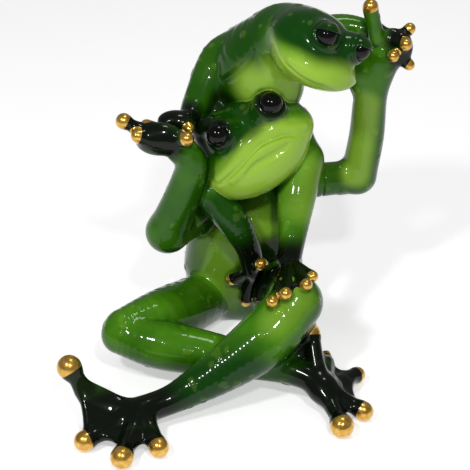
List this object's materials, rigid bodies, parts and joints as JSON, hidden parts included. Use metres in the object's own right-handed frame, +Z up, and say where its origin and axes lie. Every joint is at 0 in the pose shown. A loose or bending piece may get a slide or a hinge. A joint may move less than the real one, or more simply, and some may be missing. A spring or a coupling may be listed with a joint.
{
  "type": "frog figurine",
  "caption": "Glossy green resin ornament: a sitting father frog with crossed legs carries a child frog on the shoulders; webbed hands and feet, gold tips, black eyes",
  "frame": {"origin": "centre of the flat seat under the father's torso, on the surface the figurine stands on", "axes": "+Z up, front of the figurine towards -Y, the frogs' left towards +X"},
  "size_m": [0.1706, 0.1808, 0.1747],
  "materials": {
    "green_resin": "airbrushed green polyresin under clear gloss lacquer, gold painted tips",
    "black_eye": "polished black bead"
  },
  "bodies": {
    "root": {"father_torso": "green_resin", "father_head": "green_resin", "father_left_leg": "green_resin", "father_right_leg": "green_resin", "father_left_arm": "green_resin", "father_right_arm": "green_resin", "child_torso": "green_resin", "child_head": "green_resin", "child_right_arm": "green_resin", "child_left_arm": "green_resin", "child_right_leg": "green_resin", "child_left_leg": "green_resin", "father_right_eye": "black_eye", "father_left_eye": "black_eye", "child_right_eye": "black_eye", "child_left_eye": "black_eye"}
  },
  "joints": []
}
